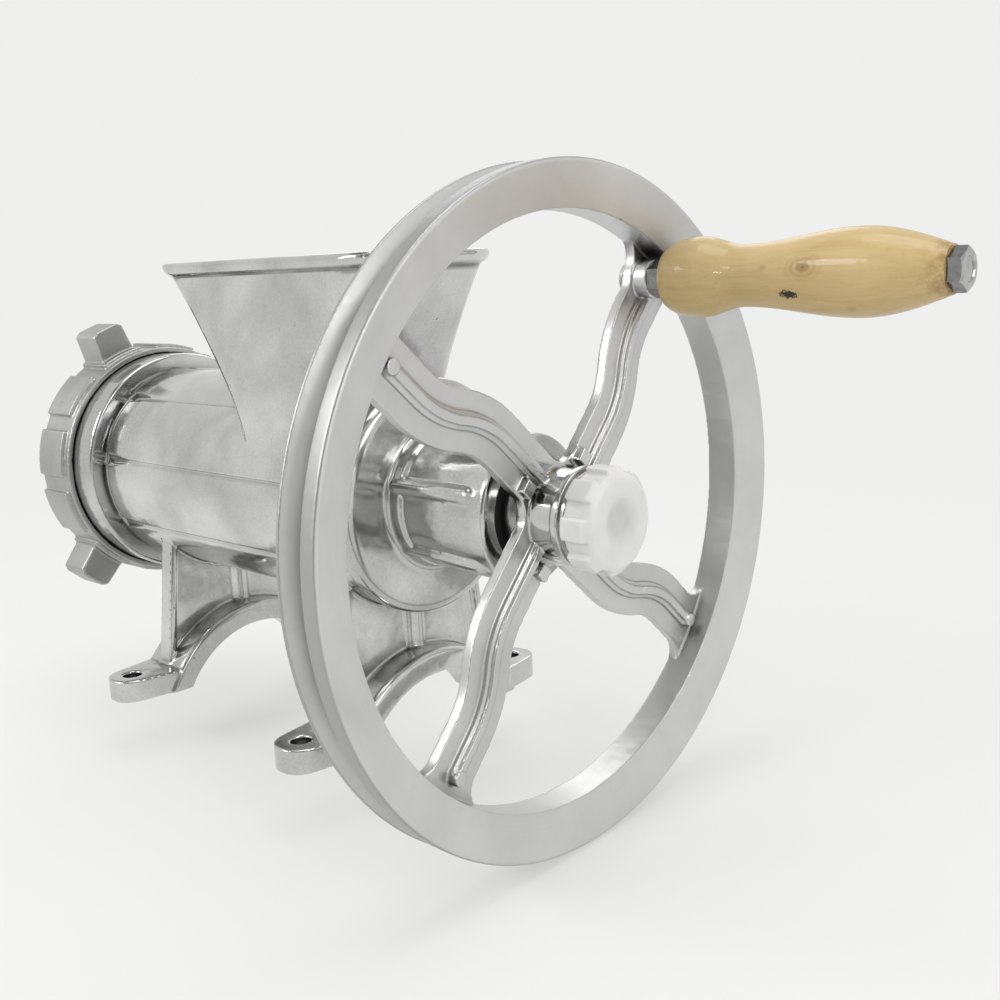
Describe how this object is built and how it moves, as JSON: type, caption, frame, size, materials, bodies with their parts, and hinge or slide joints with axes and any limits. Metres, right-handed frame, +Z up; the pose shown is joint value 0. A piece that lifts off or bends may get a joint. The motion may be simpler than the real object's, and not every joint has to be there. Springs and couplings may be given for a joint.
{
  "type": "manual meat grinder",
  "caption": "Hand-cranked meat grinder: bolt-down barrel with hopper, feed screw, knife and plate behind a lugged ring nut, turned by a grooved flywheel with a wooden handle.",
  "frame": {"origin": "middle of the four foot bolts, on the bench", "axes": "+X along the barrel from the ring nut towards the crank, +Y across the barrel, +Z up"},
  "size_m": [0.4421, 0.27, 0.27],
  "materials": {
    "cast_aluminium": "polished casting",
    "wheel_aluminium": "satin, turned rim",
    "ring_aluminium": "matte as cast",
    "steel": "ground",
    "chrome": "bright plated",
    "black_plastic": "matte",
    "white_plastic": "milky gloss",
    "wood": "clear lacquer"
  },
  "bodies": {
    "housing": {"body_casting": "cast_aluminium", "neck_bush": "black_plastic", "neck_seal": "black_plastic", "plate_key": "steel"},
    "crank": {"feed_screw": "cast_aluminium", "knife_stud": "steel", "drive_shaft": "steel", "shaft_pin": "steel", "thrust_washer": "steel", "knife": "steel", "flywheel": "wheel_aluminium", "handle_bolt": "chrome", "handle_lock_nut": "chrome", "handle_base_washer": "steel", "handle_sleeve": "steel"},
    "grip": {"handle_grip": "wood"},
    "washer": {"hub_washer": "steel"},
    "nut": {"hub_nut": "white_plastic"},
    "plate": {"grinding_plate": "steel"},
    "ring": {"ring_nut": "ring_aluminium"}
  },
  "joints": [
    {"name": "crank_spin", "type": "hinge", "parent": "housing", "child": "crank", "pos_m": [0, 0, 0.107], "axis": [1, 0, 0], "continuous": true},
    {"name": "grip_spin", "type": "hinge", "parent": "crank", "child": "grip", "pos_m": [0.23, 0.06002, 0.19618], "axis": [1, 0, 0], "continuous": true},
    {"name": "plate_slide", "type": "slide", "parent": "housing", "child": "plate", "axis": [-1, 0, 0], "range_m": [0, 0.02]},
    {"name": "ring_turn", "type": "hinge", "parent": "plate", "child": "ring", "pos_m": [-0.134, 0, 0.107], "axis": [-1, 0, 0], "range_deg": [0, 1800]},
    {"name": "washer_slide", "type": "slide", "parent": "crank", "child": "washer", "axis": [1, 0, 0], "range_m": [0, 0.01]},
    {"name": "nut_turn", "type": "hinge", "parent": "washer", "child": "nut", "pos_m": [0.18, 0, 0.107], "axis": [1, 0, 0], "range_deg": [0, 1440]}
  ],
  "couplings": [
    {"joint": "plate_slide", "follows": "ring_turn", "m_per_rad": 0.00063662},
    {"joint": "washer_slide", "follows": "nut_turn", "m_per_rad": 0.00039789}
  ]
}
